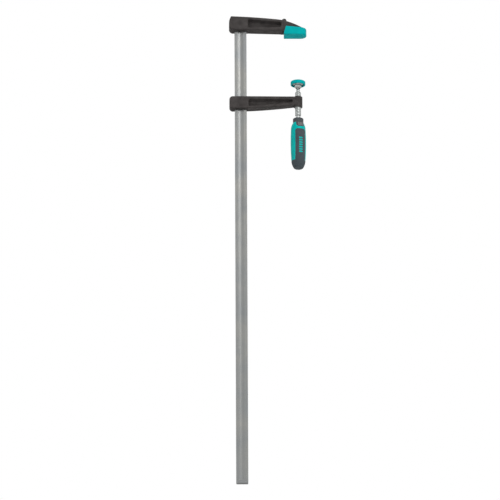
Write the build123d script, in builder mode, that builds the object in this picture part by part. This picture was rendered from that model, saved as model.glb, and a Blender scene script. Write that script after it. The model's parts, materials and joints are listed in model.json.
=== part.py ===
from build123d import *
import os
from math import acos, asin, cos, degrees, hypot, radians, sin, sqrt

os.makedirs("parts", exist_ok=True)

# A long bar clamp. Millimetres, +Z up, rail upright. The origin is the middle of the fixed
# jaw's clamping face, on the spindle's axis: +X runs from the rail to the spindle.

# Rail: a flat bar with a shallow groove down each broad face
rail_width = 28.0
rail_thick = 8.0
rail_below_face = 1121.5
throat_depth = 120.0
groove_mouth = 13.0
groove_depth = 1.6
rail_plain_end = 9.0
rail_edge_chamfer = 0.5
rail_end_round = 2.0

# Fixed jaw: a casting with an I-section arm, seated on the rail's upper end
jaw_width = 28.0
jaw_top_z = 46.4
jaw_under_z = 12.0
jaw_neck_z = 9.8
jaw_neck_length = 5.5
jaw_back_wall = 12.7
jaw_front_wall = 4.5
jaw_roof = 6.0
jaw_web = 9.0
jaw_top_flange = 7.0
jaw_low_flange = 6.0
jaw_flange_swell = 4.0
jaw_arm_bulge = 1.5
jaw_nose_bulge = 2.4
jaw_edge_radius = 2.6
jaw_brow_z = 37.0
jaw_ridge_z = 14.0
jaw_shoulder = 1.5
jaw_lean = 4.8
jaw_hump = 16.0
jaw_heel_radius = 9.0
nub_radius = 5.4
nub_rise = 3.4
nub_front = 2.4
pin_radius = 3.0
pin_inset = 8.0

# Protective cap on the fixed jaw's nose
cap_back = 32.5
cap_front = 20.4
cap_half_width = 16.0
cap_wall = 3.0
cap_floor = 3.0
cap_height = 20.5
cap_tip_height = 15.8
cap_tip_round = 4.0
cap_back_lean = 5.0
cap_corner_radius = 14.5
cap_heel_radius = 2.0
cap_edge_radius = 1.6
cap_play = 0.05
tread_count = 4
tread_pitch = 7.0
tread_width = 1.4
tread_depth = 0.5

# Sliding arm: a casting with a slot for the rail at one end and a boss at the other
arm_width = 24.0
arm_top_z = -155.7
arm_head_height = 31.0
arm_waist_height = 20.5
arm_heel_rise = 0.8
arm_belly_sag = 1.4
arm_back_wall = 12.5
arm_front_wall = 5.0
arm_web = 7.0
arm_top_flange = 8.5
arm_low_flange = 5.5
arm_corner_radius = 8.0
arm_edge_radius = 2.4
slot_play_wide = 0.8
slot_play_thick = 0.4
rib_play = 0.35
boss_radius = 10.2
boss_proud = 0.5
boss_rise = 0.7
boss_height = 25.0
cast_fillet = 2.5
cast_draft = 8.0
cast_floor_round = 1.8
cast_rim_round = 1.3

# Spindle
thread_radius = 7.0
thread_play = 0.05
thread_above_arm = 13.9
thread_length = 60.9
thread_lead_in = 1.6
shank_radius = 5.3
shank_free = 6.8
neck_radius = 3.6
neck_foot_radius = 4.6
ball_radius = 5.2
ball_below_face = 10.6
tang_length = 34.0
tang_width = 13.0
tang_thick = 4.5
shank_in_handle = 46.0

# Swivel pad on the spindle's ball
pad_face_z = -115.8
pad_radius = 17.2
pad_height = 8.3
pad_cap_top = 2.5
pad_cap_wall = 2.2
pad_lip = 0.9
pad_cap_edge = 1.0
plate_rim = 3.0
plate_dish = 1.4
ball_play = 0.08
ring_play = 0.15
ring_band = 1.75
ring_thick = 0.8
socket_play = 0.08
hub_wall = 0.9
tilt_limit = 10.0

# Handle: a hard core with two soft panels and a soft foot, and a collar at its top
handle_length = 124.3
handle_neck_radius = 12.3
handle_shoulder_radius = 17.1
handle_belly_radius = 18.0
handle_base_radius = 16.4
handle_foot_radius = 10.5
collar_height = 11.0
collar_wall = 3.6
collar_top = 2.0
shoulder_drop = 15.0
foot_height = 17.0
foot_round = 2.5
grip_thick = 2.0
panel_width = 24.0
panel_top_drop = 30.0
panel_corner = 5.0
panel_turn = 19.0
bar_count = 7
bar_width = 9.0
bar_height = 3.4
bar_pitch = 5.8
bar_drop = 2.0
tongue_width = 18.5
tongue_drop = 13.0
tongue_rib_count = 3
tongue_rib_pitch = 3.2
tongue_rib_height = 1.2
tongue_rib_proud = 0.5

# How near a place counts as touching, and how steep a direction counts as upright, when edges are picked
touching = 1e-4
nearly = 1.0
upright = 0.999

# Places that follow from the sizes above
rail_near_x = -throat_depth
rail_far_x = rail_near_x - rail_width
rail_mid_x = (rail_near_x + rail_far_x) / 2
rail_top_z = jaw_top_z - jaw_roof
rail_low_z = -rail_below_face

jaw_back_x = rail_far_x - jaw_back_wall
jaw_web_x = rail_near_x + jaw_front_wall
nose_back_x = -cap_back + cap_wall
nose_front_x = cap_front - cap_wall
nose_half_width = cap_half_width - cap_wall
beam_end_x = -cap_back - jaw_shoulder
nose_crown = ((nose_front_x + beam_end_x) / 2, (jaw_ridge_z + jaw_brow_z) / 2 + jaw_nose_bulge)
jaw_crown = ((beam_end_x + jaw_back_x) / 2, (jaw_brow_z + jaw_top_z) / 2 + jaw_arm_bulge)
jaw_front_z = jaw_top_z - (jaw_top_z - jaw_brow_z) / 4
pin_places = [
    (rail_mid_x, rail_top_z - pin_inset),
    (rail_mid_x, jaw_under_z + pin_inset),
]

arm_low_z = arm_top_z - arm_head_height
arm_back_x = rail_far_x - arm_back_wall
arm_web_x = rail_near_x + arm_front_wall
arm_waist_z = arm_top_z - arm_waist_height
arm_belly = (arm_web_x / 2, (arm_low_z + arm_heel_rise + arm_waist_z) / 2 - arm_belly_sag)
groove_radius = (groove_mouth**2 / 4 + groove_depth**2) / (2 * groove_depth)
rib_radius = groove_radius - rib_play
rib_tip_y = rail_thick / 2 - groove_depth + rib_play
rib_root_y = rail_thick / 2 + slot_play_thick
rib_half_root = sqrt(rib_radius**2 - (rib_tip_y + rib_radius - rib_root_y) ** 2)
boss_top_z = arm_top_z + boss_rise
boss_low_z = boss_top_z - boss_height

thread_top_z = arm_top_z + thread_above_arm
thread_low_z = thread_top_z - thread_length
handle_top_z = thread_low_z - shank_free
ball_z = pad_face_z - ball_below_face
plate_top_z = pad_face_z - pad_cap_top
plate_low_z = plate_top_z - plate_rim
plate_radius = pad_radius - pad_cap_wall

ring_inner = neck_radius + ring_play
ring_outer = ring_inner + ring_band
ring_top_drop = sqrt((ball_radius + ball_play) ** 2 - ring_inner**2)
ring_low_drop = ring_top_drop + ring_thick
socket_radius = hypot(ring_outer, ring_low_drop) + socket_play
hub_radius = socket_radius + hub_wall
ledge_drop = ring_top_drop * cos(radians(tilt_limit)) - ring_outer * sin(radians(tilt_limit)) - ring_play
mouth_angle = tilt_limit + degrees(asin((neck_radius + ring_play) / socket_radius))

handle_low_z = handle_top_z - handle_length
body_top_z = handle_top_z - collar_height
foot_top_z = handle_low_z + foot_height
panel_plane = Plane(
    origin=(0, 0, 0),
    x_dir=(cos(radians(panel_turn)), sin(radians(panel_turn)), 0),
    z_dir=(sin(radians(panel_turn)), -cos(radians(panel_turn)), 0),
)

# Rail: drawn bar, its groove stopped short of the free end
with BuildPart() as rail:
    with BuildSketch(Plane.XY.offset(rail_low_z)):
        with Locations((rail_mid_x, 0)):
            Rectangle(rail_width, rail_thick)
    extrude(amount=rail_top_z - rail_low_z)
    fillet(rail.faces().sort_by(Axis.Z)[0].edges().filter_by(Axis.Y), radius=rail_end_round)
    corners = rail.edges().filter_by(
        lambda edge: abs(abs(edge.center().Y) - rail_thick / 2) < touching
        and edge.center().Z < rail_top_z - touching
    )
    chamfer(corners, length=rail_edge_chamfer)
    with BuildSketch(Plane.XY.offset(rail_low_z + rail_plain_end)):
        for side in (1, -1):
            with BuildLine():
                ThreePointArc(
                    (rail_mid_x - groove_mouth / 2, side * rail_thick / 2),
                    (rail_mid_x, side * (rail_thick / 2 - groove_depth)),
                    (rail_mid_x + groove_mouth / 2, side * rail_thick / 2),
                )
                Line(
                    (rail_mid_x + groove_mouth / 2, side * rail_thick / 2),
                    (rail_mid_x - groove_mouth / 2, side * rail_thick / 2),
                )
            make_face()
    extrude(amount=rail_top_z - rail_low_z - rail_plain_end, mode=Mode.SUBTRACT)
    with BuildSketch(Plane.XZ):
        with Locations(*pin_places):
            Circle(pin_radius)
    extrude(amount=rail_thick, both=True, mode=Mode.SUBTRACT)
rail.part.label = "rail"

# Nose of the fixed jaw, the part that the cap wraps
with BuildPart() as jaw_nose:
    with BuildSketch(Plane.XZ):
        with BuildLine():
            Polyline(
                (beam_end_x - jaw_neck_length, jaw_neck_z),
                (nose_back_x, jaw_neck_z),
                (nose_back_x, cap_floor),
                (nose_front_x, cap_floor),
                (nose_front_x, jaw_ridge_z),
            )
            ThreePointArc((nose_front_x, jaw_ridge_z), nose_crown, (beam_end_x, jaw_brow_z))
            Polyline(
                (beam_end_x, jaw_brow_z),
                (beam_end_x - jaw_neck_length, jaw_brow_z),
                (beam_end_x - jaw_neck_length, jaw_neck_z),
            )
        make_face()
    extrude(amount=nose_half_width, both=True)
    fillet(
        jaw_nose.edges().filter_by(Axis.Z).group_by(Axis.X)[-1],
        radius=cap_corner_radius - cap_wall,
    )
    crown = jaw_nose.faces().filter_by(GeomType.CYLINDER).sort_by(SortBy.AREA)[-1]
    fillet(
        crown.edges().filter_by(lambda edge: abs(abs(edge.center().Y) - nose_half_width) < nearly),
        radius=jaw_edge_radius,
    )

# Fixed jaw: head and arm in one outline, the nose, then the pockets beside the web
with BuildPart() as fixed_jaw:
    with BuildSketch(Plane.XZ) as jaw_side:
        with BuildLine():
            ThreePointArc(
                (jaw_back_x + jaw_lean, jaw_top_z),
                (jaw_back_x + jaw_lean / 4, jaw_top_z - jaw_hump / 2),
                (jaw_back_x, jaw_top_z - jaw_hump),
            )
            Line((jaw_back_x, jaw_top_z - jaw_hump), (jaw_back_x, jaw_under_z))
            Line((jaw_back_x, jaw_under_z), (jaw_web_x, jaw_under_z))
            Line((jaw_web_x, jaw_under_z), (beam_end_x - jaw_neck_length, jaw_neck_z))
            Line((beam_end_x - jaw_neck_length, jaw_neck_z), (beam_end_x, jaw_neck_z))
            Line((beam_end_x, jaw_neck_z), (beam_end_x, jaw_brow_z))
            ThreePointArc((beam_end_x, jaw_brow_z), jaw_crown, (jaw_back_x + jaw_lean, jaw_top_z))
        make_face()
        fillet(jaw_side.vertices().group_by(Axis.X)[0].sort_by(Axis.Y)[0], radius=jaw_heel_radius)
    extrude(amount=jaw_width / 2, both=True)
    rims = fixed_jaw.edges().filter_by(
        lambda edge: abs(abs(edge.center().Y) - jaw_width / 2) < touching
        and edge.center().X < beam_end_x - touching
    )
    fillet(rims, radius=jaw_edge_radius)
    add(jaw_nose.part)
    for side in (1, -1):
        with BuildSketch(Plane.XZ.offset(side * jaw_web / 2)) as pocket:
            with BuildLine():
                Polyline(
                    (jaw_web_x, jaw_under_z + jaw_low_flange),
                    (beam_end_x - jaw_neck_length, jaw_neck_z + jaw_low_flange + jaw_flange_swell),
                    (beam_end_x - jaw_neck_length, jaw_brow_z - jaw_top_flange),
                    (jaw_web_x, jaw_front_z - jaw_top_flange),
                    close=True,
                )
            make_face()
            fillet(pocket.vertices(), radius=cast_fillet)
        extrude(amount=side * jaw_width, taper=-cast_draft, mode=Mode.SUBTRACT)
        mouth = fixed_jaw.edges(Select.LAST).filter_by(
            lambda edge: abs(edge.center().Y) > jaw_width / 2 - cast_fillet
        )
        fillet(mouth, radius=cast_rim_round)
    floors = fixed_jaw.faces().filter_by(Axis.Y).filter_by(lambda face: abs(face.center().Y) < jaw_web)
    fillet(floors.edges(), radius=cast_floor_round)
    with BuildSketch(Plane.XZ):
        with Locations((beam_end_x + nub_front, jaw_brow_z + nub_rise - nub_radius)):
            Circle(nub_radius)
    extrude(amount=jaw_width / 2 - jaw_edge_radius, both=True)
    with BuildSketch(Plane.XY.offset(jaw_under_z - jaw_width)):
        with Locations((rail_mid_x, 0)):
            Rectangle(rail_width, rail_thick)
    extrude(amount=rail_top_z - jaw_under_z + jaw_width, mode=Mode.SUBTRACT)
    with BuildSketch(Plane.XZ):
        with Locations(*pin_places):
            Circle(pin_radius)
    extrude(amount=jaw_width, both=True, mode=Mode.SUBTRACT)
fixed_jaw.part.label = "fixed_jaw"

# Pins that hold the rail in the fixed jaw, ground flush with the casting
with BuildPart() as fixed_jaw_pins:
    with BuildSketch(Plane.XZ):
        with Locations(*pin_places):
            Circle(pin_radius)
    extrude(amount=jaw_width / 2, both=True)
fixed_jaw_pins.part.label = "fixed_jaw_pins"

# Cap on the fixed jaw: an open slipper with a treaded sole
with BuildPart() as jaw_cap:
    with BuildSketch():
        with Locations(((cap_front - cap_back) / 2, 0)):
            Rectangle(cap_back + cap_front, 2 * cap_half_width)
    extrude(amount=cap_height)
    uprights = jaw_cap.edges().filter_by(Axis.Z)
    fillet(uprights.group_by(Axis.X)[-1], radius=cap_corner_radius)
    fillet(jaw_cap.edges().filter_by(Axis.Z).group_by(Axis.X)[0], radius=cap_heel_radius)
    with BuildSketch(Plane.XZ) as cap_side:
        with BuildLine():
            Polyline(
                (-cap_back, 0),
                (-cap_back, cap_floor),
                (-cap_back + cap_back_lean, cap_height),
                (cap_front, cap_tip_height),
                (cap_front, 0),
                close=True,
            )
        make_face()
        fillet(cap_side.vertices().sort_by(Axis.Y)[-2], radius=cap_tip_round)
    extrude(amount=2 * cap_half_width, both=True, mode=Mode.INTERSECT)
    fillet(jaw_cap.faces().sort_by(Axis.Z)[0].edges(), radius=cap_edge_radius)
    with BuildSketch(Plane.XY.offset(cap_floor)):
        with Locations(((nose_front_x + nose_back_x) / 2, 0)):
            Rectangle(nose_front_x - nose_back_x + 2 * cap_play, 2 * (nose_half_width + cap_play))
        fillet(vertices().group_by(Axis.X)[-1], radius=cap_corner_radius - cap_wall + cap_play)
    extrude(amount=cap_height, mode=Mode.SUBTRACT)
    with BuildSketch(Plane.XY.offset(jaw_neck_z - cap_play)):
        with Locations((nose_back_x, 0)):
            Rectangle(3 * (cap_back + nose_back_x), 2 * (nose_half_width + cap_play))
    extrude(amount=cap_height, mode=Mode.SUBTRACT)
    with BuildSketch():
        with GridLocations(0, tread_pitch, 1, tread_count):
            Rectangle(2 * (cap_back + cap_front), tread_width)
    extrude(amount=tread_depth, mode=Mode.SUBTRACT)
jaw_cap.part.label = "jaw_cap"

# Sliding arm: head, arm and boss, with guide ribs in the slot that run in the rail's grooves
with BuildPart() as sliding_arm:
    with BuildSketch(Plane.XZ) as arm_side:
        with BuildLine():
            Polyline(
                (arm_back_x, arm_top_z),
                (arm_back_x, arm_low_z),
                (arm_web_x, arm_low_z + arm_heel_rise),
            )
            ThreePointArc((arm_web_x, arm_low_z + arm_heel_rise), arm_belly, (0, arm_waist_z))
            Polyline((0, arm_waist_z), (0, arm_top_z), (arm_back_x, arm_top_z))
        make_face()
        fillet(arm_side.vertices().group_by(Axis.X)[0], radius=arm_corner_radius)
    extrude(amount=arm_width / 2, both=True)
    with BuildSketch(Plane.XY.offset(arm_top_z - 2 * arm_head_height)):
        with BuildLine():
            Polyline(
                (arm_back_x, arm_width / 2),
                (rail_near_x, arm_width / 2),
                (0, boss_radius - boss_proud),
                (0, boss_proud - boss_radius),
                (rail_near_x, -arm_width / 2),
                (arm_back_x, -arm_width / 2),
                close=True,
            )
        make_face()
    extrude(amount=3 * arm_head_height, mode=Mode.INTERSECT)
    sides = sliding_arm.faces().filter_by(
        lambda face: abs(face.normal_at().Z) < touching and abs(face.normal_at().Y) > upright / 2
    )
    rims = sides.edges().filter_by(
        lambda edge: not edge.is_interior and abs(edge.tangent_at(0.5).Z) < upright
        and edge.center().X < -boss_radius
    )
    fillet(rims, radius=arm_edge_radius)
    for side in (1, -1):
        with BuildSketch(Plane.XZ.offset(side * arm_web / 2)) as pocket:
            with BuildLine():
                Polyline(
                    (arm_web_x, arm_low_z + arm_heel_rise + arm_low_flange),
                    (-boss_radius - arm_web / 2, arm_waist_z + arm_low_flange),
                    (-boss_radius - arm_web / 2, arm_top_z - arm_top_flange),
                    (arm_web_x, arm_top_z - arm_top_flange),
                    close=True,
                )
            make_face()
            fillet(pocket.vertices(), radius=cast_fillet)
        extrude(amount=side * arm_width, taper=-cast_draft, mode=Mode.SUBTRACT)
        mouth = sliding_arm.edges(Select.LAST).filter_by(
            lambda edge: abs(edge.center().Y) > arm_width / 2 - cast_fillet
        )
        fillet(mouth, radius=cast_rim_round)
    floors = sliding_arm.faces().filter_by(Axis.Y).filter_by(lambda face: abs(face.center().Y) < arm_web)
    fillet(floors.edges(), radius=cast_floor_round)
    with BuildSketch(Plane.XY.offset(boss_low_z)):
        Circle(boss_radius)
    extrude(amount=boss_height)
    with BuildSketch(Plane.XY.offset(boss_low_z)):
        Circle(thread_radius + thread_play)
    extrude(amount=boss_height, mode=Mode.SUBTRACT)
    with BuildSketch(Plane.XY.offset(arm_low_z)):
        with Locations((rail_mid_x, 0)):
            Rectangle(rail_width + 2 * slot_play_wide, rail_thick + 2 * slot_play_thick)
        for side in (1, -1):
            with BuildLine():
                ThreePointArc(
                    (rail_mid_x - rib_half_root, side * rib_root_y),
                    (rail_mid_x, side * rib_tip_y),
                    (rail_mid_x + rib_half_root, side * rib_root_y),
                )
                Line(
                    (rail_mid_x + rib_half_root, side * rib_root_y),
                    (rail_mid_x - rib_half_root, side * rib_root_y),
                )
            make_face(mode=Mode.SUBTRACT)
    extrude(amount=arm_head_height, mode=Mode.SUBTRACT)
sliding_arm.part.label = "sliding_arm"

# Spindle: ball, neck, threaded length, bare shank and the flattened tang inside the handle
with BuildPart() as spindle:
    with BuildSketch(Plane.XZ):
        with BuildLine():
            ball_arc = ThreePointArc(
                (0, ball_z + ball_radius),
                (ball_radius, ball_z),
                (neck_radius, ball_z - sqrt(ball_radius**2 - neck_radius**2)),
            )
            Polyline(
                ball_arc @ 1,
                (neck_radius, ball_z - hub_radius),
                (neck_foot_radius, ball_z - hub_radius - 2 * (neck_foot_radius - neck_radius)),
                (neck_foot_radius, thread_top_z),
                (thread_radius - thread_lead_in, thread_top_z),
                (thread_radius, thread_top_z - thread_lead_in),
                (thread_radius, thread_low_z + thread_lead_in),
                (thread_radius - thread_lead_in, thread_low_z),
                (shank_radius, thread_low_z),
                (shank_radius, handle_top_z - shank_in_handle),
                (0, handle_top_z - shank_in_handle),
                (0, ball_z + ball_radius),
            )
        make_face()
    revolve(axis=Axis.Z)
    with BuildSketch(Plane.XY.offset(handle_top_z - shank_in_handle - tang_length)):
        Rectangle(tang_width, tang_thick)
    extrude(amount=tang_length + tang_thick)
spindle.part.label = "spindle"

# Ring that keeps the ball in the pressure plate
with BuildPart() as pad_retaining_ring:
    with BuildSketch(Plane.XY.offset(ball_z - ring_low_drop)):
        Circle(ring_outer)
        Circle(ring_inner, mode=Mode.SUBTRACT)
    extrude(amount=ring_thick)
pad_retaining_ring.part.label = "pad_retaining_ring"

# Pressure plate: a dished disc with a hollow hub closed in below the ball and its ring


def below_ball(radius, angle):
    """Point at radius from the ball's centre, at angle from straight down."""
    return (radius * sin(radians(angle)), ball_z - radius * cos(radians(angle)))


seat_radius = ball_radius + ball_play
ledge_angle = degrees(acos(ledge_drop / socket_radius))
seat_angle = degrees(acos(ledge_drop / seat_radius))
with BuildPart() as pressure_plate:
    with BuildSketch(Plane.XZ):
        with BuildLine():
            Polyline(
                (0, ball_z + seat_radius),
                (0, plate_top_z),
                (plate_radius, plate_top_z),
                (plate_radius, plate_low_z),
                (plate_radius - pad_lip, plate_low_z),
                (hub_radius + plate_dish, plate_low_z - plate_dish),
                (hub_radius, plate_low_z - 2 * plate_dish),
                (hub_radius, ball_z),
            )
            ThreePointArc(
                below_ball(hub_radius, 90),
                below_ball(hub_radius, (90 + mouth_angle) / 2),
                below_ball(hub_radius, mouth_angle),
            )
            Line(below_ball(hub_radius, mouth_angle), below_ball(socket_radius, mouth_angle))
            ThreePointArc(
                below_ball(socket_radius, mouth_angle),
                below_ball(socket_radius, (mouth_angle + ledge_angle) / 2),
                below_ball(socket_radius, ledge_angle),
            )
            Line(below_ball(socket_radius, ledge_angle), below_ball(seat_radius, seat_angle))
            ThreePointArc(
                below_ball(seat_radius, seat_angle),
                below_ball(seat_radius, 90),
                below_ball(seat_radius, 180),
            )
        make_face()
    revolve(axis=Axis.Z)
pressure_plate.part.label = "pressure_plate"

# Cap on the pressure plate: a shallow cup with a lip under the plate's rim
with BuildPart() as pressure_cap:
    with BuildSketch(Plane.XY.offset(pad_face_z - pad_height)):
        Circle(pad_radius)
    extrude(amount=pad_height)
    fillet(pressure_cap.edges(), radius=pad_cap_edge)
    with BuildSketch(Plane.XY.offset(pad_face_z - pad_height)):
        Circle(plate_radius - pad_lip)
    extrude(amount=pad_height - pad_cap_top, mode=Mode.SUBTRACT)
    with BuildSketch(Plane.XY.offset(plate_low_z)):
        Circle(plate_radius)
    extrude(amount=plate_rim, mode=Mode.SUBTRACT)
pressure_cap.part.label = "pressure_cap"

# Handle: one turned outline, drawn again a grip's thickness inside for the soft layer's bed


def handle_outline(inset):
    """Half outline of the handle's body below the collar, moved inwards by inset."""
    foot = (handle_foot_radius, handle_low_z + inset)
    base = (handle_base_radius - inset, foot_top_z)
    shoulder = (handle_shoulder_radius - inset, body_top_z - shoulder_drop)
    neck = (handle_neck_radius - inset, body_top_z)
    belly = ThreePointArc(
        base, (handle_belly_radius - inset, (foot_top_z + body_top_z - shoulder_drop) / 2), shoulder
    )
    TangentArc(shoulder, neck, tangent=belly % 1)
    TangentArc(base, foot, tangent=-(belly % 0))
    Polyline(neck, (0, body_top_z), (0, handle_low_z + inset), foot)


with BuildPart() as handle_outside:
    with BuildSketch(Plane.XZ):
        with BuildLine():
            handle_outline(0)
        make_face()
    revolve(axis=Axis.Z)
    fillet(handle_outside.faces().sort_by(Axis.Z)[0].edges(), radius=foot_round)

with BuildPart() as handle_inside:
    with BuildSketch(Plane.XZ):
        with BuildLine():
            handle_outline(grip_thick)
        make_face()
    revolve(axis=Axis.Z)

# Soft grip: two panels with rounded tops and a row of bars through each, running into the foot
panel_top_z = handle_top_z - panel_top_drop
bar_mid_z = (panel_top_z + foot_top_z) / 2 - bar_drop
with BuildPart() as handle_grip:
    with BuildSketch(panel_plane):
        with Locations((0, (panel_top_z + foot_top_z - grip_thick) / 2)):
            Rectangle(panel_width, panel_top_z - foot_top_z + grip_thick)
        fillet(vertices().group_by(Axis.Y)[-1], radius=panel_corner)
        with Locations((0, bar_mid_z)):
            with GridLocations(0, bar_pitch, 1, bar_count):
                SlotOverall(bar_width, bar_height, mode=Mode.SUBTRACT)
    extrude(amount=2 * handle_belly_radius, both=True)
    with BuildSketch(Plane.XY.offset(handle_low_z)):
        Circle(2 * handle_belly_radius)
    extrude(amount=foot_height)
    add(handle_outside.part, mode=Mode.INTERSECT)
    add(handle_inside.part, mode=Mode.SUBTRACT)
handle_grip.part.label = "handle_grip"

# Ribs across the collar's tongues
with BuildPart() as tongue_ribs:
    with BuildSketch(Plane.XZ):
        with BuildLine():
            handle_outline(-tongue_rib_proud)
        make_face()
    revolve(axis=Axis.Z)
    with BuildSketch(panel_plane):
        with Locations((0, body_top_z - tongue_drop / 2)):
            with GridLocations(0, tongue_rib_pitch, 1, tongue_rib_count):
                Rectangle(tongue_width - 2 * tongue_rib_pitch, tongue_rib_height)
    extrude(amount=2 * handle_belly_radius, both=True, mode=Mode.INTERSECT)
    add(handle_inside.part, mode=Mode.SUBTRACT)

# Collar: a ring round the core's neck, with a ribbed tongue down each side
with BuildPart() as handle_collar:
    with BuildSketch(panel_plane):
        with Locations((0, body_top_z - tongue_drop / 2)):
            Rectangle(tongue_width, tongue_drop)
        fillet(vertices().group_by(Axis.Y)[0], radius=tongue_drop / 3)
    extrude(amount=2 * handle_belly_radius, both=True)
    add(handle_outside.part, mode=Mode.INTERSECT)
    add(handle_inside.part, mode=Mode.SUBTRACT)
    add(tongue_ribs.part)
    with BuildSketch(Plane.XY.offset(body_top_z)):
        Circle(handle_neck_radius)
        Circle(handle_neck_radius - collar_wall, mode=Mode.SUBTRACT)
    extrude(amount=collar_height)
    with BuildSketch(Plane.XY.offset(handle_top_z - collar_top)):
        Circle(handle_neck_radius - collar_wall)
        Circle(shank_radius, mode=Mode.SUBTRACT)
    extrude(amount=collar_top)
    chamfer(
        handle_collar.faces().sort_by(Axis.Z)[-1].edges().sort_by(SortBy.LENGTH)[-1],
        length=collar_top / 2,
    )
handle_collar.part.label = "handle_collar"

# Hard core: all of the handle that the grip and collar leave, with the tang's hole
with BuildPart() as handle_core:
    add(handle_outside.part)
    with BuildSketch(Plane.XY.offset(body_top_z)):
        Circle(handle_neck_radius - collar_wall)
    extrude(amount=collar_height - collar_top)
    add(handle_grip.part, mode=Mode.SUBTRACT)
    add(handle_collar.part, mode=Mode.SUBTRACT)
    add(spindle.part, mode=Mode.SUBTRACT)
handle_core.part.label = "handle_core"

pieces = (
    rail,
    fixed_jaw,
    fixed_jaw_pins,
    jaw_cap,
    sliding_arm,
    spindle,
    pad_retaining_ring,
    pressure_plate,
    pressure_cap,
    handle_core,
    handle_grip,
    handle_collar,
)
for piece in pieces:
    export_step(piece.part, f"parts/{piece.part.label}.step")
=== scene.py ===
import json
from math import atan2, cos, pi, radians, sin

import bpy
import numpy as np
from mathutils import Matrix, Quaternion, Vector


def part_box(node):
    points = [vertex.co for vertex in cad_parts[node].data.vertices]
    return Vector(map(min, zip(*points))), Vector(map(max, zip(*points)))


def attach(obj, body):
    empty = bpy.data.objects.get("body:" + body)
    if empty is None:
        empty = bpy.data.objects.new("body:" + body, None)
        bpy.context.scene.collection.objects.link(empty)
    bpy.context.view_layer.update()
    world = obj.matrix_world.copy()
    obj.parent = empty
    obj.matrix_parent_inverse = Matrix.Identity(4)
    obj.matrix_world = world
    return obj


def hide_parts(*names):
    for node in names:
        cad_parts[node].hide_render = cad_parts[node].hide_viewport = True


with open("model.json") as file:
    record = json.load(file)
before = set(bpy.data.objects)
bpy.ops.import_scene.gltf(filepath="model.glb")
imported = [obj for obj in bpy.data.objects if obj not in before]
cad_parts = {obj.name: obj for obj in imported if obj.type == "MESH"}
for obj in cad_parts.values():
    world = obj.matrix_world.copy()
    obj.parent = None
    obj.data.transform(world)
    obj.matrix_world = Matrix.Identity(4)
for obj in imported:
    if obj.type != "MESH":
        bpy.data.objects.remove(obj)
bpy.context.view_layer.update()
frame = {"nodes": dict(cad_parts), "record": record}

# Lengths are in metres; MM turns a size in millimetres into one
MM = 0.001

# Smaller than any angle, sine or cosine that counts
tiny = 1e-6

# Camera: the photograph looks up at the clamp from the front, almost without perspective
photo_size = 500
pixels_per_metre = 430.0
spindle_axis_px = 298.95
jaw_face_px = 35.2
view_elevation = -22.0
view_azimuth = -0.6
view_roll = -0.25
camera_distance = 30.0
sensor_width = 36.0


def look_up_camera():
    """Camera whose frame puts the spindle's axis and the jaw's face on the photograph's pixels."""
    tilt, turn = radians(view_elevation), radians(view_azimuth)
    back = Vector((sin(turn) * cos(tilt), -cos(turn) * cos(tilt), sin(tilt)))
    aim_x = (photo_size / 2 - spindle_axis_px) / (pixels_per_metre * cos(turn))
    aim_z = (jaw_face_px - photo_size / 2) / pixels_per_metre + aim_x * sin(turn) * sin(tilt)
    aim_z /= cos(tilt)
    data = bpy.data.cameras.new("photo_camera")
    data.sensor_width = sensor_width
    data.lens = pixels_per_metre * camera_distance / photo_size * sensor_width
    data.clip_start = 1.0
    data.clip_end = 3 * camera_distance
    camera = bpy.data.objects.new("photo_camera", data)
    camera.location = Vector((aim_x, 0, aim_z)) + back * camera_distance
    camera.rotation_mode = "QUATERNION"
    roll = Quaternion(back, radians(view_roll))
    camera.rotation_quaternion = roll @ (-back).to_track_quat("-Z", "Y")
    bpy.context.scene.collection.objects.link(camera)
    bpy.context.scene.camera = camera


# Shader helpers


def new_material(name):
    """Material with an empty node tree, its output and its surface shader."""
    material = bpy.data.materials.new(name)
    material.use_nodes = True
    tree = material.node_tree
    tree.nodes.clear()
    output = tree.nodes.new("ShaderNodeOutputMaterial")
    shader = tree.nodes.new("ShaderNodeBsdfPrincipled")
    tree.links.new(shader.outputs["BSDF"], output.inputs["Surface"])
    return material, tree, shader


def object_position(tree, stretch=(1, 1, 1)):
    """Place on the object, squeezed along each axis, for the patterns to read."""
    place = tree.nodes.new("ShaderNodeTexCoord")
    mapping = tree.nodes.new("ShaderNodeMapping")
    mapping.inputs["Scale"].default_value = stretch
    tree.links.new(place.outputs["Object"], mapping.inputs["Vector"])
    return mapping.outputs["Vector"]


def grain(tree, where, per_metre, detail=3.0, roughness=0.55):
    """Soft noise with a number of lumps per metre."""
    noise = tree.nodes.new("ShaderNodeTexNoise")
    noise.inputs["Scale"].default_value = per_metre
    noise.inputs["Detail"].default_value = detail
    noise.inputs["Roughness"].default_value = roughness
    tree.links.new(where, noise.inputs["Vector"])
    return noise.outputs["Fac"]


def spread(tree, value, low=0.0, high=1.0, start=0.35, end=0.65):
    """Value from start to end, which is the middle of a noise's range, as one from low to high."""
    ramp = tree.nodes.new("ShaderNodeMapRange")
    ramp.inputs["From Min"].default_value = start
    ramp.inputs["From Max"].default_value = end
    ramp.inputs["To Min"].default_value = low
    ramp.inputs["To Max"].default_value = high
    tree.links.new(value, ramp.inputs["Value"])
    return ramp.outputs["Result"]


def two_tone(tree, value, first, second):
    """Colour between the first, plain or a socket, and the second by value."""
    mix = tree.nodes.new("ShaderNodeMix")
    mix.data_type = "RGBA"
    tree.links.new(value, mix.inputs["Factor"])
    if isinstance(first, tuple):
        mix.inputs["A"].default_value = (*first, 1)
    else:
        tree.links.new(first, mix.inputs["A"])
    mix.inputs["B"].default_value = (*second, 1)
    return mix.outputs["Result"]


def figure(tree, operation, *values):
    """Result of a Math node on numbers or sockets."""
    node = tree.nodes.new("ShaderNodeMath")
    node.operation = operation
    for socket, value in zip(node.inputs, values):
        if isinstance(value, (int, float)):
            socket.default_value = value
        else:
            tree.links.new(value, socket)
    return node.outputs[0]


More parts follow.
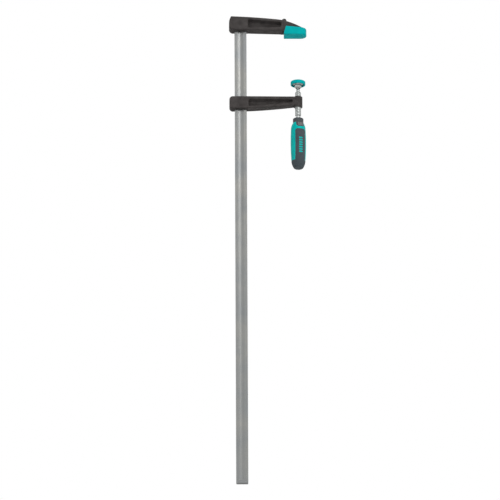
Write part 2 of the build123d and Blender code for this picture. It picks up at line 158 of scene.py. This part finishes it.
def relief(tree, shader, *layers):
    """Stacks bump layers, each a height and its depth in metres, on the shader."""
    normal = None
    for height, depth in layers:
        bump = tree.nodes.new("ShaderNodeBump")
        bump.inputs["Distance"].default_value = depth
        tree.links.new(height, bump.inputs["Height"])
        if normal:
            tree.links.new(normal, bump.inputs["Normal"])
        normal = bump.outputs["Normal"]
    tree.links.new(normal, shader.inputs["Normal"])


def dress(tree, shader, colour, roughness):
    """Gives the shader its colour and its roughness."""
    tree.links.new(colour, shader.inputs["Base Color"])
    tree.links.new(roughness, shader.inputs["Roughness"])


# Finishes: each one's colour varies between two, written as linear red, green and blue
casting_black = (0.046, 0.041, 0.040), (0.074, 0.067, 0.065)
rail_grey = (0.225, 0.235, 0.240), (0.275, 0.275, 0.262)
zinc_bright = (0.39, 0.41, 0.40), (0.49, 0.51, 0.50)
wire_grey = (0.10, 0.10, 0.10), (0.16, 0.16, 0.155)
cap_teal = (0.0, 0.37, 0.38), (0.0, 0.43, 0.44)
core_teal = (0.0, 0.43, 0.405), (0.002, 0.50, 0.46)
grip_grey = (0.044, 0.057, 0.066), (0.062, 0.077, 0.087)
collar_grey = (0.046, 0.053, 0.058), (0.066, 0.074, 0.080)
# Pale grey painted on the collar's ribs as a highlight
rib_highlight_grey = (0.30, 0.275, 0.275)


def black_casting():
    """Black satin paint over sand-cast iron: orange peel, shallow casting lumps, dusty patches."""
    material, tree, shader = new_material("black_casting")
    where = object_position(tree)
    patches = grain(tree, where, per_metre=60, detail=6)
    peel = grain(tree, where, per_metre=2200, detail=2)
    lumps = grain(tree, where, per_metre=420, detail=4)
    colour = two_tone(tree, spread(tree, patches), *casting_black)
    dress(tree, shader, colour, spread(tree, lumps, low=0.5, high=0.66))
    shader.inputs["Specular IOR Level"].default_value = 0.07
    relief(tree, shader, (lumps, 0.9 * MM), (peel, 0.3 * MM))
    return material


def rail_steel():
    """Drawn and zinc-coated bar: fine streaks along its length, a cooler and a warmer tone."""
    material, tree, shader = new_material("rail_steel")
    along = object_position(tree, stretch=(1, 1, 0.006))
    cloud = grain(tree, object_position(tree), per_metre=14, detail=4)
    streaks = grain(tree, along, per_metre=2600, detail=4, roughness=0.7)
    colour = two_tone(tree, spread(tree, cloud), *rail_grey)
    dress(tree, shader, colour, spread(tree, streaks, low=0.26, high=0.44))
    shader.inputs["Metallic"].default_value = 1.0
    relief(tree, shader, (streaks, 0.02 * MM))
    return material


def zinc_steel():
    """Bright zinc plate: nearly smooth, with faint cloudiness."""
    material, tree, shader = new_material("zinc_steel")
    where = object_position(tree)
    cloud = grain(tree, where, per_metre=240, detail=5)
    fine = grain(tree, where, per_metre=3000, detail=2)
    colour = two_tone(tree, spread(tree, cloud), *zinc_bright)
    dress(tree, shader, colour, spread(tree, cloud, low=0.28, high=0.4))
    shader.inputs["Metallic"].default_value = 1.0
    relief(tree, shader, (fine, 0.015 * MM))
    return material


def spring_steel():
    """Dark oiled wire."""
    material, tree, shader = new_material("spring_steel")
    cloud = grain(tree, object_position(tree), per_metre=400, detail=3)
    colour = two_tone(tree, spread(tree, cloud), *wire_grey)
    dress(tree, shader, colour, spread(tree, cloud, low=0.3, high=0.45))
    shader.inputs["Metallic"].default_value = 1.0
    return material


def teal_plastic(name, tones, rough, texture_depth):
    """Moulded teal plastic: faint flow marks and a fine spark-eroded texture."""
    material, tree, shader = new_material(name)
    where = object_position(tree)
    flow = grain(tree, where, per_metre=45, detail=3)
    texture = grain(tree, where, per_metre=2600, detail=1)
    colour = two_tone(tree, spread(tree, flow), *tones)
    dress(tree, shader, colour, spread(tree, flow, low=rough - 0.05, high=rough + 0.06))
    shader.inputs["Specular IOR Level"].default_value = 0.05
    relief(tree, shader, (texture, texture_depth))
    return material


def grey_rubber(name, tones, highlight_mask=None):
    """Soft dark grip: matt, pebbled finely, rubbed a little paler in patches, and with a pale highlight
    painted where the given mask marks it.
    """
    material, tree, shader = new_material(name)
    where = object_position(tree)
    rubbed = grain(tree, where, per_metre=70, detail=5)
    pebbles = tree.nodes.new("ShaderNodeTexVoronoi")
    pebbles.inputs["Scale"].default_value = 1500
    tree.links.new(where, pebbles.inputs["Vector"])
    colour = two_tone(tree, spread(tree, rubbed), *tones)
    # A pale highlight is painted where the mask is 1
    if highlight_mask:
        colour = two_tone(tree, highlight_mask(tree, where), colour, rib_highlight_grey)
    dress(tree, shader, colour, spread(tree, rubbed, low=0.62, high=0.78))
    shader.inputs["Specular IOR Level"].default_value = 0.3
    shader.inputs["Sheen Weight"].default_value = 0.06
    shader.inputs["Sheen Roughness"].default_value = 0.5
    relief(tree, shader, (pebbles.outputs["Distance"], 0.08 * MM))
    return material


# Ribs across each tongue of the handle's collar, on which a pale highlight is painted
tongue_drop = 13.0 * MM
tongue_turn = radians(19.0)
rib_count = 3
rib_pitch = 3.2 * MM
rib_height = 1.2 * MM
rib_length = 12.1 * MM


def painted_rib_highlight(tree, where):
    """Mask of the pale highlight painted on the ribs: 1 on the ribs, 0 beside them, in bands of height round
    the tongue's middle, as long as a rib.
    """
    place = tree.nodes.new("ShaderNodeSeparateXYZ")
    tree.links.new(where, place.inputs[0])
    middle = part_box("handle_collar")[0].z + tongue_drop / 2
    level = figure(tree, "SUBTRACT", place.outputs["Z"], middle)
    from_rib = figure(tree, "WRAP", level, rib_pitch / 2, -rib_pitch / 2)
    aside_x = figure(tree, "MULTIPLY", place.outputs["X"], cos(tongue_turn))
    aside_y = figure(tree, "MULTIPLY", place.outputs["Y"], sin(tongue_turn))
    aside = figure(tree, "ADD", aside_x, aside_y)
    limits = (from_rib, rib_height), (level, rib_count * rib_pitch), (aside, rib_length)
    inside = [figure(tree, "LESS_THAN", figure(tree, "ABSOLUTE", way), size / 2) for way, size in limits]
    return figure(tree, "MULTIPLY", figure(tree, "MULTIPLY", inside[0], inside[1]), inside[2])


finishes = {
    "black_casting": black_casting(),
    "rail_steel": rail_steel(),
    "zinc_steel": zinc_steel(),
    "spring_steel": spring_steel(),
    "teal_cap": teal_plastic("teal_cap", cap_teal, rough=0.42, texture_depth=0.04 * MM),
    "teal_core": teal_plastic("teal_core", core_teal, rough=0.3, texture_depth=0.02 * MM),
    "grey_grip": grey_rubber("grey_grip", grip_grey),
    # The collar's ribs carry a painted highlight
    "grey_collar": grey_rubber("grey_collar", collar_grey, highlight_mask=painted_rib_highlight),
}
record = frame["record"]
node_slot = {row["node"]: row["material_slot"] for row in record["subparts"]}
node_body = {node: body for body, nodes in record["behaviour"]["bodies"].items() for node in nodes}


# Surfaces


def ring_faces(rows, columns):
    """Quads of a grid of rows by columns whose columns close into rings."""
    row = np.arange(rows - 1)[:, None] * columns
    column = np.arange(columns)[None, :]
    after = (column + 1) % columns
    quads = np.stack([row + column, row + after, row + columns + after, row + columns + column], -1)
    return quads.reshape(-1, 4)


def put_mesh(name, points, faces, node):
    """Object from points and faces that stands for a node, with the node's finish and body."""
    mesh = bpy.data.meshes.new(name)
    mesh.from_pydata(points.tolist(), [], faces)
    mesh.polygons.foreach_set("use_smooth", np.ones(len(mesh.polygons), bool))
    piece = bpy.data.objects.new(name, mesh)
    bpy.context.scene.collection.objects.link(piece)
    mesh.materials.append(finishes[node_slot[node]])
    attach(piece, node_body[node])
    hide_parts(node)
    return piece


def turned_points(radius, height, columns):
    """Points radius from the Z axis at each height, one ring a row; radius may vary round the ring."""
    angle = 2 * pi * np.arange(columns) / columns
    radius = np.broadcast_to(np.asarray(radius).reshape(len(height), -1), (len(height), columns))
    level = np.broadcast_to(np.asarray(height)[:, None], radius.shape)
    return np.stack([radius * np.cos(angle), radius * np.sin(angle), level], -1)


def close_poles(points):
    """Points and faces of rings whose first and last rows have shrunk to the axis, one point at each pole."""
    rows, columns = points.shape[:2]
    body = points[1:-1].reshape(-1, 3)
    quads = ring_faces(rows - 2, columns)
    first_pole, last_pole = len(body), len(body) + 1
    column = np.arange(columns)
    after = (column + 1) % columns
    last_ring = (rows - 3) * columns
    first_fan = np.stack([np.full(columns, first_pole), after, column], -1)
    last_fan = np.stack([np.full(columns, last_pole), last_ring + column, last_ring + after], -1)
    points = np.vstack([body, points[0, 0], points[-1, 0]])
    return points, [*quads.tolist(), *first_fan.tolist(), *last_fan.tolist()]


def rounded(corners, radii, steps=5):
    """Path through corners, each but the ends cut by an arc of its radius that touches both its sides."""
    path = [np.array(corners[0], float)]
    for before, corner, after, radius in zip(corners, corners[1:], corners[2:], radii):
        before, corner, after = (np.array(point, float) for point in (before, corner, after))
        back = (before - corner) / np.linalg.norm(before - corner)
        ahead = (after - corner) / np.linalg.norm(after - corner)
        half = np.arccos(np.clip(back @ ahead, -1, 1)) / 2
        if radius == 0 or abs(half - pi / 2) < tiny:
            path.append(corner)
            continue
        centre = corner + (back + ahead) / np.linalg.norm(back + ahead) * radius / sin(half)
        start = corner + back * radius / np.tan(half) - centre
        end = corner + ahead * radius / np.tan(half) - centre
        across = np.array([-start[1], start[0]])
        sweep = atan2(across @ end, start @ end)
        path.extend(centre + start * cos(turn) + across * sin(turn) for turn in np.linspace(0, sweep, steps))
    path.append(np.array(corners[-1], float))
    return np.array(path)


# The castings, the cap, the pins and the handle keep their own solids, with the facets shaded smooth
weld_distance = 0.002 * MM
crease_angle = radians(32)
for node, piece in frame["nodes"].items():
    piece.data.materials.clear()
    piece.data.materials.append(finishes[node_slot[node]])
    piece.data.polygons.foreach_set("use_smooth", np.ones(len(piece.data.polygons), bool))
    weld = piece.modifiers.new("joined_facets", "WELD")
    weld.merge_threshold = weld_distance
    crease = piece.modifiers.new("creases", "EDGE_SPLIT")
    crease.split_angle = crease_angle


# Rail: a bar with an arc groove down each broad face, which ends short of the free end
groove_mouth = 13.0 * MM
groove_depth = 1.6 * MM
groove_run_out = 0.6 * MM
rail_plain_end = 9.0 * MM
rail_edge = 0.6 * MM
rail_end_round = 2.0 * MM
face_columns = 57
corner_columns = 5
end_rows = 9
length_rows = 40

# Rows of the run-out, as shares of its length; the outer ones keep the flats beside it evenly shaded
run_out_rows = np.array([-0.2, 0, 1, 1.2])


def rail_section(half_wide, half_thick):
    """Points of a rounded rectangle: a broad face, a corner, a narrow face and a corner, then the
    same again turned half round."""
    across = np.linspace(rail_edge - half_wide, half_wide - rail_edge, face_columns)
    turn = np.linspace(-pi / 2, 0, corner_columns)[1:-1]
    corner_x = half_wide - rail_edge + rail_edge * np.cos(turn)
    corner_y = rail_edge - half_thick + rail_edge * np.sin(turn)
    side_x, side_y = [half_wide] * 2, [rail_edge - half_thick, half_thick - rail_edge]
    x = np.concatenate([across, corner_x, side_x, corner_x[::-1]])
    y = np.concatenate([np.full(face_columns, -half_thick), corner_y, side_y, -corner_y[::-1]])
    half_loop = np.stack([x, y], -1)
    return np.concatenate([half_loop, -half_loop])


def groove(across):
    """Depth of the groove by the distance from its middle: a circle's height above the mouth's chord."""
    arc_radius = (groove_mouth**2 / 4 + groove_depth**2) / (2 * groove_depth)
    chord = arc_radius - groove_depth
    return np.sqrt(np.clip(arc_radius**2 - across**2, chord**2, None)) - chord


def rail_bar():
    """Rounded rectangle carried up Z. Each broad face is pressed in by the groove's depth times a
    steep step up from the plain end. The lowest rows are narrower by a quarter circle's draw-in,
    and thinner by a bevel."""
    low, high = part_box("rail")
    middle = (low + high) / 2
    half = (high - low) / 2
    section = rail_section(half.x, half.y)
    run_start = rail_plain_end - groove_run_out / 2
    foot = rail_end_round * (1 - np.cos(np.linspace(0, pi / 2, end_rows)))
    run_out = run_start + groove_run_out * run_out_rows
    length = np.linspace(2 * rail_plain_end, high.z - low.z, length_rows)
    level = np.concatenate([foot, run_out, length])[:, None]
    step = np.clip((level - run_start) / groove_run_out, 0, 1)
    under = np.clip(1 - level / rail_end_round, 0, 1)
    draw_in = rail_end_round * (1 - np.sqrt(1 - under**2))
    bevel = np.clip(rail_edge - level, 0, None)
    x = section[:, 0] * (1 - draw_in / half.x)
    y = section[:, 1] - np.sign(section[:, 1]) * (groove(section[:, 0]) * step + bevel)
    points = np.stack([middle.x + x, middle.y + y, np.broadcast_to(low.z + level, x.shape)], -1)
    rows, columns = x.shape
    ends = [list(range(columns))[::-1], list(range((rows - 1) * columns, rows * columns))]
    put_mesh("rail_bar", points.reshape(-1, 3), [*ring_faces(rows, columns).tolist(), *ends], "rail")


# Spindle
thread_pitch = 4.0 * MM
thread_depth = 1.3 * MM
thread_crest = 1.9 * MM
thread_flank = 0.6 * MM
thread_length = 60.9 * MM
thread_lead_in = 1.6 * MM
thread_above_arm = 13.9 * MM
boss_rise = 0.7 * MM
shank_radius = 5.3 * MM
shank_length = 52.8 * MM
step_edge = 0.15 * MM
neck_radius = 3.6 * MM
neck_foot_radius = 4.6 * MM
ball_radius = 5.2 * MM
ball_play = 0.08 * MM
ball_below_face = 10.6 * MM
hub_radius = 8.1 * MM
tang_width = 13.0 * MM
tang_thick = 4.5 * MM
tang_shoulder = 1.0 * MM
ball_rows = 24
rows_a_turn = 22
around = 96


def helical_ridge(thread_radius, top, low, angle):
    """Radius and height of the thread: a trapezoid wave of height over pitch less angle over a turn,
    cut by a cone at each end."""
    level = np.linspace(top, low, round(thread_length / thread_pitch * rows_a_turn) + 1)
    wave = np.abs((level[:, None] / thread_pitch - angle / (2 * pi)) % 1 - 0.5) * thread_pitch
    height = np.clip((thread_crest / 2 + thread_flank - wave) / thread_flank, 0, 1)
    ridge = thread_radius - thread_depth * (1 - height)
    from_end = np.minimum(top - level, level - low)[:, None]
    return np.minimum(ridge, thread_radius - thread_lead_in + from_end), level


def flat_bar(angle):
    """Radius of a rectangle: the nearer of its two sides' distances from the axis along each angle."""
    to_width = tang_width / 2 / np.maximum(np.abs(np.cos(angle)), tiny)
    to_thick = tang_thick / 2 / np.maximum(np.abs(np.sin(angle)), tiny)
    return np.minimum(to_width, to_thick)


def screw_spindle():
    """Turned bar on one grid: a sphere, a neck, a helical ridge, a shank and a flat tang."""
    low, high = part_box("spindle")
    angle = 2 * pi * np.arange(around) / around
    ball_z = high.z - ball_radius
    polar = np.linspace(0, pi - np.arcsin(neck_radius / ball_radius), ball_rows)
    neck_low = ball_z - hub_radius
    cone_low = neck_low - 2 * (neck_foot_radius - neck_radius)
    thread_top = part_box("sliding_arm")[1].z - boss_rise + thread_above_arm
    thread_low = thread_top - thread_length
    shank_low = thread_low - shank_length
    neck = [neck_radius, *[neck_foot_radius] * 3]
    flat = flat_bar(angle)
    stretches = (
        (ball_radius * np.sin(polar), ball_z + ball_radius * np.cos(polar)),
        (neck, [neck_low, cone_low, thread_top + step_edge, thread_top]),
        helical_ridge((high.x - low.x) / 2, thread_top, thread_low, angle),
        ([shank_radius] * 4, [thread_low, thread_low - step_edge, shank_low + step_edge, shank_low]),
        ([flat, flat, np.zeros(around)], [shank_low - tang_shoulder, low.z, low.z]),
    )
    rings = np.concatenate([turned_points(radius, height, around) for radius, height in stretches])
    points, faces = close_poles(rings)
    put_mesh("screw_spindle", points, [face[::-1] for face in faces], "spindle")


# Swivel pad: plate, cup and retaining ring are turned from paths of radius and height
pad_cap_top = 2.5 * MM
pad_cap_wall = 2.2 * MM
pad_cap_edge = 1.0 * MM
pad_lip = 0.9 * MM
lip_edge = 0.4 * MM
cup_fillet = 0.2 * MM
plate_rim = 3.0 * MM
plate_edge = 0.5 * MM
plate_dish = 1.4 * MM
dish_edge = 0.3 * MM
dish_round = 0.8 * MM
hub_foot_round = 1.2 * MM
socket_radius = 7.2 * MM
mouth_angle = radians(41.4)
ledge_drop = 2.55 * MM
hub_rows = 10
socket_rows = 6
seat_rows = 18
ring_play = 0.15 * MM
ring_edge = 0.24 * MM


def turned_piece(name, path, node):
    """Path of radius and height, from one point on the axis to another, turned once round Z."""
    points, faces = close_poles(turned_points(path[:, 0], path[:, 1], around))
    piece = put_mesh(name, points, [face[::-1] for face in faces], node)
    piece.data.set_sharp_from_angle(angle=crease_angle)


def pad_plate(plate_top, plate_radius, plate_low, ball_z):
    """Disc with a dished back and a round hub. The hub's outside, its socket and the ball's seat are
    arcs round the ball's middle, and a flat ledge joins the last two."""
    seat = ball_radius + ball_play
    socket_ledge = pi - np.arccos(ledge_drop / socket_radius)
    seat_ledge = pi - np.arccos(ledge_drop / seat)
    arcs = (
        (hub_radius, np.linspace(pi / 2, pi - mouth_angle, hub_rows)),
        (socket_radius, np.linspace(pi - mouth_angle, socket_ledge, socket_rows)),
        (seat, np.linspace(seat_ledge, 0, seat_rows)),
    )
    balls = [np.stack([size * np.sin(polar), ball_z + size * np.cos(polar)], -1) for size, polar in arcs]
    brim = rounded(
        [
            (0, plate_top),
            (plate_radius, plate_top),
            (plate_radius, plate_low),
            (plate_radius - pad_lip, plate_low),
            (hub_radius + plate_dish, plate_low - plate_dish),
            (hub_radius, plate_low - 2 * plate_dish),
            (hub_radius, ball_z),
        ],
        [plate_edge, plate_edge, dish_edge, dish_round, hub_foot_round],
    )
    turned_piece("pad_plate", np.vstack([brim[:-1], *balls]), "pressure_plate")


def pad_cup(face_z, cup_radius, cup_low, plate_top, plate_radius, plate_low):
    """Cup round the plate, with a lip under the plate's rim."""
    cup = rounded(
        [
            (0, face_z),
            (cup_radius, face_z),
            (cup_radius, cup_low),
            (plate_radius - pad_lip, cup_low),
            (plate_radius - pad_lip, plate_low),
            (plate_radius, plate_low),
            (plate_radius, plate_top),
            (0, plate_top),
        ],
        [pad_cap_edge, pad_cap_edge, lip_edge, cup_fillet, cup_fillet, cup_fillet],
    )
    turned_piece("pad_cup", cup, "pressure_cap")


def swivel_pad():
    """Plate and cup, both measured down from the cup's face."""
    cup_low, cup_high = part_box("pressure_cap")
    plate_top = cup_high.z - pad_cap_top
    plate_radius = cup_high.x - pad_cap_wall
    plate_low = plate_top - plate_rim
    pad_plate(plate_top, plate_radius, plate_low, cup_high.z - ball_below_face)
    pad_cup(cup_high.z, cup_high.x, cup_low.z, plate_top, plate_radius, plate_low)


def wire_ring():
    """Rounded rectangle of radius and height turned once round Z, closed both ways."""
    low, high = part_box("pad_retaining_ring")
    inner = neck_radius + ring_play
    start = (inner, (low.z + high.z) / 2)
    corners = [start, (inner, low.z), (high.x, low.z), (high.x, high.z), (inner, high.z), start]
    path = rounded(corners, [ring_edge] * 4)[:-1]
    points = turned_points(path[:, 0], path[:, 1], around)
    rows, columns = points.shape[:2]
    faces = ring_faces(rows + 1, columns) % (rows * columns)
    put_mesh("wire_ring", points.reshape(-1, 3), faces.tolist(), "pad_retaining_ring")


rail_bar()
screw_spindle()
swivel_pad()
wire_ring()


# Stage: a pale floor that shows only from above, soft lamps, and a white room
floor_z = -1.30
floor_radius = 8.0
floor_sides = 64
floor_white = (0.93, 0.93, 0.93)
floor_bounce = (0.85, 0.85, 0.85)
room_light = 0.3
lamp_aim = Vector((-0.08, 0, -0.25))

# The floor thins out between these shares of its radius
fade_start, fade_end = 0.35, 0.9


def white_rays(tree):
    """1 for a ray from the camera, or on from metal or glass, and 0 for one that only carries light."""
    rays = tree.nodes.new("ShaderNodeLightPath")
    seen = figure(tree, "MAXIMUM", rays.outputs["Is Camera Ray"], rays.outputs["Is Glossy Ray"])
    return figure(tree, "MAXIMUM", seen, rays.outputs["Is Transmission Ray"])


def pale_floor():
    """White floor under the clamp that keeps its shadow and thins out towards its rim."""
    material, tree, shader = new_material("pale_floor")
    output = tree.get_output_node("ALL")
    shader.inputs["Roughness"].default_value = 0.9
    shader.inputs["Specular IOR Level"].default_value = 0.1
    tree.links.new(two_tone(tree, white_rays(tree), floor_bounce, floor_white), shader.inputs["Base Color"])
    place = tree.nodes.new("ShaderNodeTexCoord")
    length = tree.nodes.new("ShaderNodeVectorMath")
    length.operation = "LENGTH"
    tree.links.new(place.outputs["Object"], length.inputs[0])
    from_middle = length.outputs["Value"]
    far = spread(tree, from_middle, start=fade_start * floor_radius, end=fade_end * floor_radius)
    side = tree.nodes.new("ShaderNodeNewGeometry")
    clear = tree.nodes.new("ShaderNodeBsdfTransparent")
    mix = tree.nodes.new("ShaderNodeMixShader")
    gone = figure(tree, "MAXIMUM", far, side.outputs["Backfacing"])
    tree.links.new(gone, mix.inputs["Fac"])
    tree.links.new(shader.outputs["BSDF"], mix.inputs[1])
    tree.links.new(clear.outputs["BSDF"], mix.inputs[2])
    tree.links.new(mix.outputs["Shader"], output.inputs["Surface"])
    return material


def lay_floor():
    """Round floor centred under the clamp."""
    rim = turned_points([floor_radius], [floor_z], floor_sides)[0]
    mesh = bpy.data.meshes.new("floor")
    mesh.from_pydata(rim.tolist(), [], [list(range(floor_sides))])
    mesh.materials.append(pale_floor())
    floor = bpy.data.objects.new("floor", mesh)
    bpy.context.scene.collection.objects.link(floor)


def white_room():
    """World that lights the clamp evenly and looks plain white to the camera and in reflections."""
    world = bpy.data.worlds.new("white_room")
    world.use_nodes = True
    tree = world.node_tree
    tree.nodes.clear()
    output = tree.nodes.new("ShaderNodeOutputWorld")
    glow = tree.nodes.new("ShaderNodeBackground")
    strength = spread(tree, white_rays(tree), low=room_light, high=1.0, start=0.0, end=1.0)
    tree.links.new(strength, glow.inputs["Strength"])
    glow.inputs["Color"].default_value = (1, 1, 1, 1)
    tree.links.new(glow.outputs["Background"], output.inputs["Surface"])
    bpy.context.scene.world = world


def soft_lamp(name, azimuth, elevation, distance, width, height, power, beam=180, mirrored=True):
    """Rectangular lamp aimed at the clamp's upper half; azimuth 0 is the camera's side, and its light
    fans out over the beam's angle. One that isn't mirrored lights the paint and the plastic and
    doesn't show in the metal."""
    turn, lift = radians(azimuth), radians(elevation)
    back = Vector((sin(turn) * cos(lift), -cos(turn) * cos(lift), sin(lift)))
    data = bpy.data.lights.new(name, "AREA")
    data.shape = "RECTANGLE"
    data.size = width
    data.size_y = height
    data.energy = power
    data.spread = radians(beam)
    lamp = bpy.data.objects.new(name, data)
    lamp.location = lamp_aim + back * distance
    lamp.rotation_mode = "QUATERNION"
    lamp.rotation_quaternion = (-back).to_track_quat("-Z", "Y")
    lamp.visible_glossy = mirrored
    bpy.context.scene.collection.objects.link(lamp)


look_up_camera()
white_room()
lay_floor()
soft_lamp("key", azimuth=27, elevation=28, distance=3.6, width=2.0, height=0.9, power=18)
soft_lamp("top", azimuth=15, elevation=62, distance=2.6, width=1.0, height=1.0, power=20)
soft_lamp("side", azimuth=-75, elevation=15, distance=3.2, width=1.4, height=1.2, power=12)
soft_lamp("front", azimuth=-10, elevation=32, distance=3.6, width=0.8, height=0.5, power=28, mirrored=False)
soft_lamp(
    "under", azimuth=60, elevation=-30, distance=1.6,
    width=0.6, height=0.3, power=0.9, beam=60, mirrored=False,
)
soft_lamp("back", azimuth=170, elevation=40, distance=3.2, width=1.4, height=1.6, power=8)

bpy.context.scene.view_settings.view_transform = "Standard"
